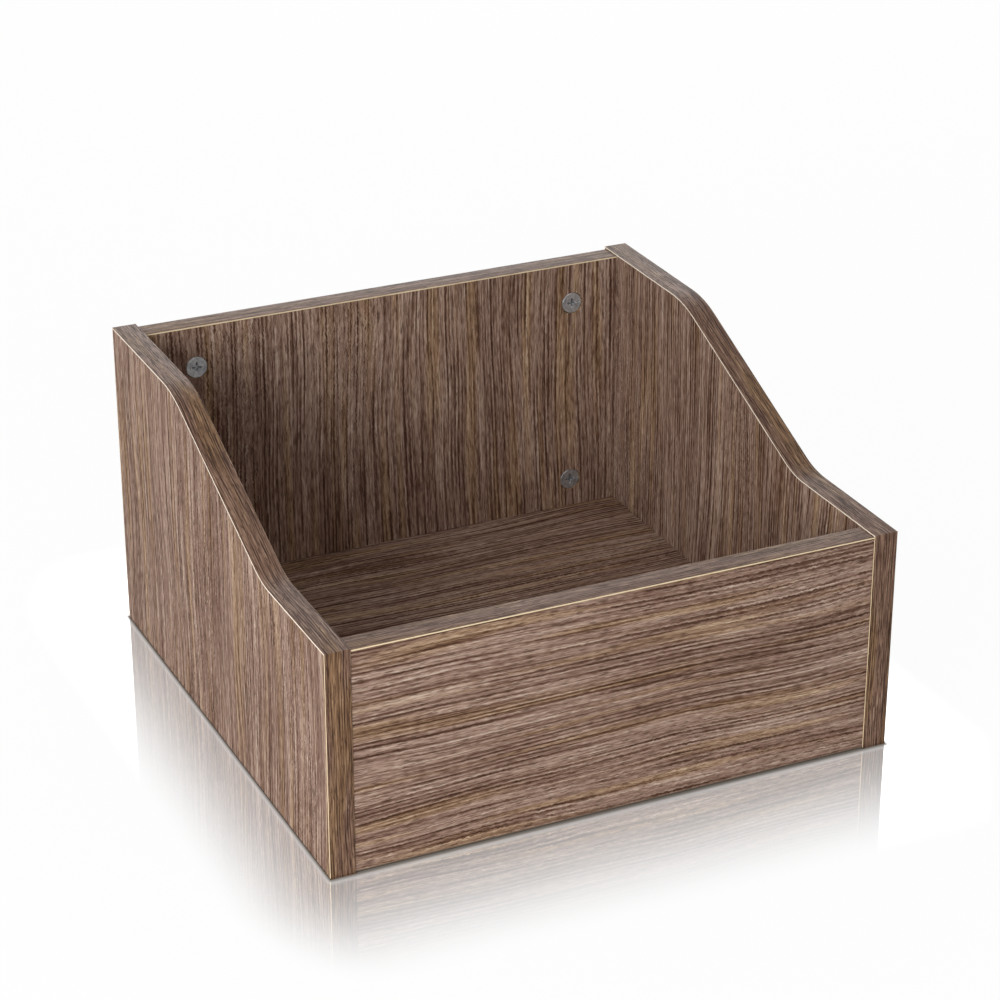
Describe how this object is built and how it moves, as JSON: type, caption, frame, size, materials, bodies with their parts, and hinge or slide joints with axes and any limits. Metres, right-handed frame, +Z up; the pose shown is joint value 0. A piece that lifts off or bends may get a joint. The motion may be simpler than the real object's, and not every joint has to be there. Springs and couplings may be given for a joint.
{
  "type": "record storage stand",
  "caption": "Open-topped stand for upright records: swooping side boards, a low front board, a high back board and a raised base board, joined by cam locks and dowels.",
  "frame": {"origin": "on the floor, under the middle of the stand", "axes": "+X to the stand's right across its width, -Y towards its low front, +Z up"},
  "size_m": [0.375, 0.365, 0.212],
  "materials": {
    "faced_board": "melamine-faced chipboard in a mid-brown walnut decor, satin",
    "edge_band": "printed plastic edge band in the same decor, with a pale trimmed arris",
    "cast_zinc": "die-cast zinc, matt",
    "plated_steel": "zinc-plated steel, bright",
    "beech": "fluted beech, unfinished"
  },
  "bodies": {
    "root": {"side_board_left": "faced_board", "side_board_right": "faced_board", "front_board": "faced_board", "back_board": "faced_board", "base_board": "faced_board", "edge_band_left_top": "edge_band", "edge_band_left_front": "edge_band", "edge_band_left_rear": "edge_band", "edge_band_left_bottom": "edge_band", "edge_band_right_top": "edge_band", "edge_band_right_front": "edge_band", "edge_band_right_rear": "edge_band", "edge_band_right_bottom": "edge_band", "edge_band_front_top": "edge_band", "edge_band_front_bottom": "edge_band", "edge_band_back_top": "edge_band", "edge_band_back_bottom": "edge_band", "cam_lock_front_low_left": "cast_zinc", "cam_lock_front_low_right": "cast_zinc", "cam_lock_front_high_left": "cast_zinc", "cam_lock_front_high_right": "cast_zinc", "cam_lock_back_low_left": "cast_zinc", "cam_lock_back_low_right": "cast_zinc", "cam_lock_back_high_left": "cast_zinc", "cam_lock_back_high_right": "cast_zinc", "cam_lock_base_fore_left": "cast_zinc", "cam_lock_base_fore_right": "cast_zinc", "cam_lock_base_aft_left": "cast_zinc", "cam_lock_base_aft_right": "cast_zinc", "cam_bolt_front_low_left": "plated_steel", "cam_bolt_front_low_right": "plated_steel", "cam_bolt_front_high_left": "plated_steel", "cam_bolt_front_high_right": "plated_steel", "cam_bolt_back_low_left": "plated_steel", "cam_bolt_back_low_right": "plated_steel", "cam_bolt_back_high_left": "plated_steel", "cam_bolt_back_high_right": "plated_steel", "cam_bolt_base_fore_left": "plated_steel", "cam_bolt_base_fore_right": "plated_steel", "cam_bolt_base_aft_left": "plated_steel", "cam_bolt_base_aft_right": "plated_steel", "dowel_front_left": "beech", "dowel_front_right": "beech", "dowel_back_left": "beech", "dowel_back_right": "beech", "dowel_base_left": "beech", "dowel_base_right": "beech"}
  },
  "joints": []
}
